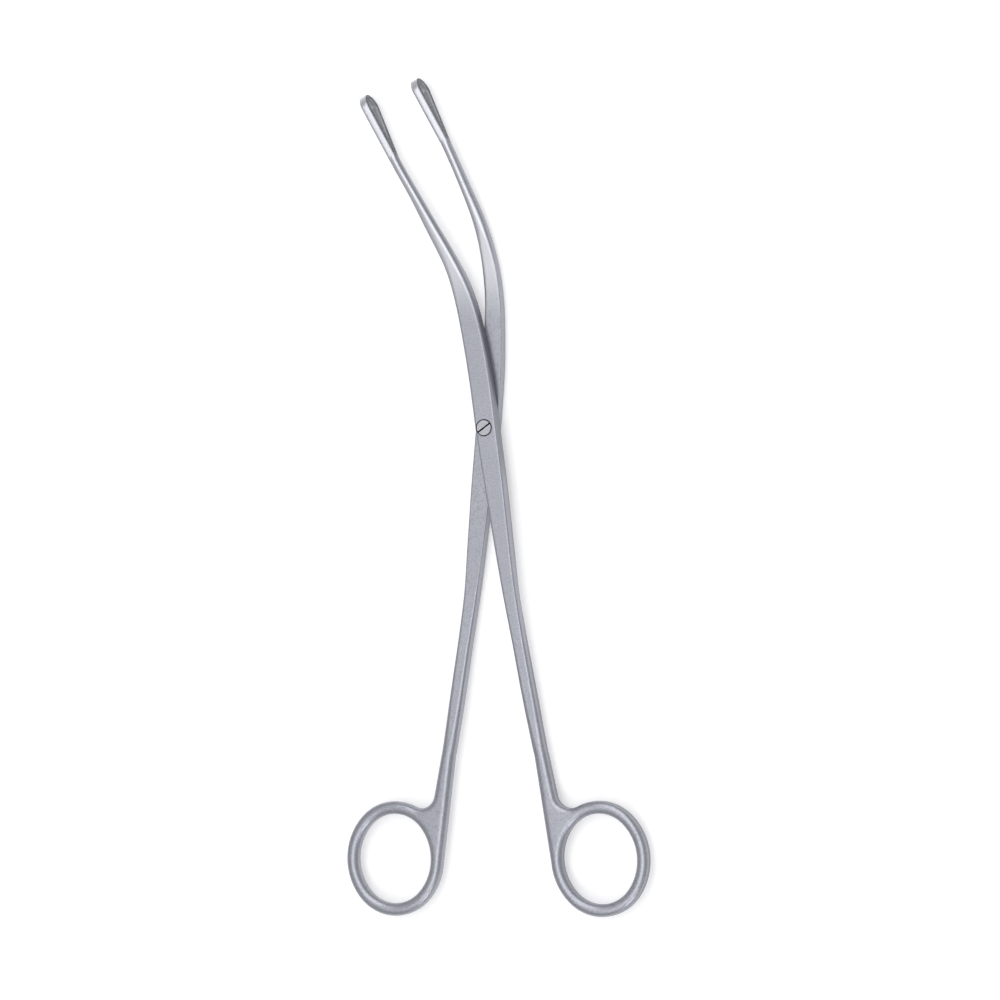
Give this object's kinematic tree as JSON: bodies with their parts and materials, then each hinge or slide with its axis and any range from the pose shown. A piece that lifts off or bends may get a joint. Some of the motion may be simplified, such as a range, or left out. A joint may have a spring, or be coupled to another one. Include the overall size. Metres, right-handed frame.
{
  "type": "gallstone forceps",
  "caption": "Slender scissor-handled forceps with long crossing arms, sideways-curved fenestrated jaws, oval finger rings and one slotted pivot screw.",
  "frame": {"origin": "on the pivot screw's axis, in the plane of the rear arm's flat back", "axes": "+Y towards the jaws along the instrument, +X to the side of the front arm's ring, +Z out of the front arm's face along the screw"},
  "size_m": [0.0896, 0.2323, 0.0077],
  "materials": {
    "satin_stainless": "satin, glass-bead blasted",
    "screw_stainless": "fine turned"
  },
  "bodies": {
    "rear_arm": {"rear_arm": "satin_stainless", "pivot_screw": "screw_stainless"},
    "front_arm": {"front_arm": "satin_stainless"}
  },
  "joints": [
    {"name": "pivot", "type": "hinge", "parent": "rear_arm", "child": "front_arm", "pos_m": [0, 0, 0.00337], "axis": [0, 0, 1], "range_deg": [-7.88, 50]}
  ]
}
